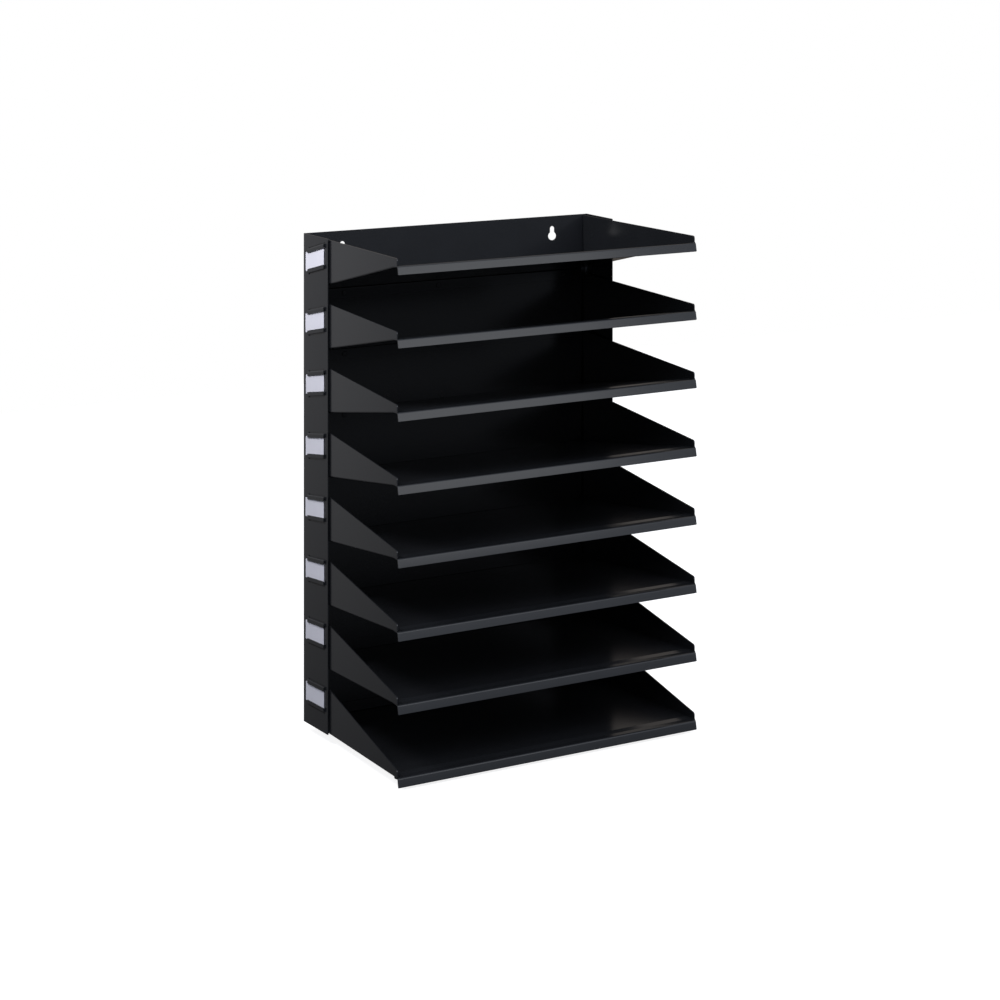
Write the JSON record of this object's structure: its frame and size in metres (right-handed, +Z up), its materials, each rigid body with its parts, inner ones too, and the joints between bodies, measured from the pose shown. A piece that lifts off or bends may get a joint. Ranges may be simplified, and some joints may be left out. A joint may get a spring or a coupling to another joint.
{
  "type": "desktop file sorter",
  "caption": "Folded steel desktop file sorter: a stack of open trays with sloping wings on one back panel with keyholes, and sliding label cards along its left side",
  "frame": {"origin": "on the desk, below the middle of the object's length and width", "axes": "+Z up, -Y is the open front where paper goes in, +Y is the back panel's outer face, -X is the side with the label cards"},
  "size_m": [0.311, 0.2826, 0.5022],
  "materials": {
    "carcass_paint": "smooth black baked enamel, satin to gloss",
    "tray_paint": "smooth black baked enamel, satin to gloss",
    "rivet_paint": "black enamel over a set steel rivet head",
    "label_paper": "matt white card",
    "foot_rubber": "matt black rubber"
  },
  "bodies": {
    "sorter": {"carcass": "carcass_paint", "tray_1": "tray_paint", "tray_2": "tray_paint", "tray_3": "tray_paint", "tray_4": "tray_paint", "tray_5": "tray_paint", "tray_6": "tray_paint", "tray_7": "tray_paint", "tray_8": "tray_paint", "rivet_1_left": "rivet_paint", "rivet_1_middle": "rivet_paint", "rivet_1_right": "rivet_paint", "rivet_2_left": "rivet_paint", "rivet_2_middle": "rivet_paint", "rivet_2_right": "rivet_paint", "rivet_3_left": "rivet_paint", "rivet_3_middle": "rivet_paint", "rivet_3_right": "rivet_paint", "rivet_4_left": "rivet_paint", "rivet_4_middle": "rivet_paint", "rivet_4_right": "rivet_paint", "rivet_5_left": "rivet_paint", "rivet_5_middle": "rivet_paint", "rivet_5_right": "rivet_paint", "rivet_6_left": "rivet_paint", "rivet_6_middle": "rivet_paint", "rivet_6_right": "rivet_paint", "rivet_7_left": "rivet_paint", "rivet_7_middle": "rivet_paint", "rivet_7_right": "rivet_paint", "rivet_8_left": "rivet_paint", "rivet_8_middle": "rivet_paint", "rivet_8_right": "rivet_paint", "foot_rear_left": "foot_rubber", "foot_rear_right": "foot_rubber", "foot_front_left": "foot_rubber", "foot_front_right": "foot_rubber"},
    "card_1": {"label_1": "label_paper"},
    "card_2": {"label_2": "label_paper"},
    "card_3": {"label_3": "label_paper"},
    "card_4": {"label_4": "label_paper"},
    "card_5": {"label_5": "label_paper"},
    "card_6": {"label_6": "label_paper"},
    "card_7": {"label_7": "label_paper"},
    "card_8": {"label_8": "label_paper"}
  },
  "joints": [
    {"name": "label_1_slide", "type": "slide", "parent": "sorter", "child": "card_1", "axis": [0.0656, -0.9978, 0], "range_m": [0, 0.056]},
    {"name": "label_2_slide", "type": "slide", "parent": "sorter", "child": "card_2", "axis": [0.0656, -0.9978, 0], "range_m": [0, 0.056]},
    {"name": "label_3_slide", "type": "slide", "parent": "sorter", "child": "card_3", "axis": [0.0656, -0.9978, 0], "range_m": [0, 0.056]},
    {"name": "label_4_slide", "type": "slide", "parent": "sorter", "child": "card_4", "axis": [0.0656, -0.9978, 0], "range_m": [0, 0.056]},
    {"name": "label_5_slide", "type": "slide", "parent": "sorter", "child": "card_5", "axis": [0.0656, -0.9978, 0], "range_m": [0, 0.056]},
    {"name": "label_6_slide", "type": "slide", "parent": "sorter", "child": "card_6", "axis": [0.0656, -0.9978, 0], "range_m": [0, 0.056]},
    {"name": "label_7_slide", "type": "slide", "parent": "sorter", "child": "card_7", "axis": [0.0656, -0.9978, 0], "range_m": [0, 0.056]},
    {"name": "label_8_slide", "type": "slide", "parent": "sorter", "child": "card_8", "axis": [0.0656, -0.9978, 0], "range_m": [0, 0.056]}
  ]
}
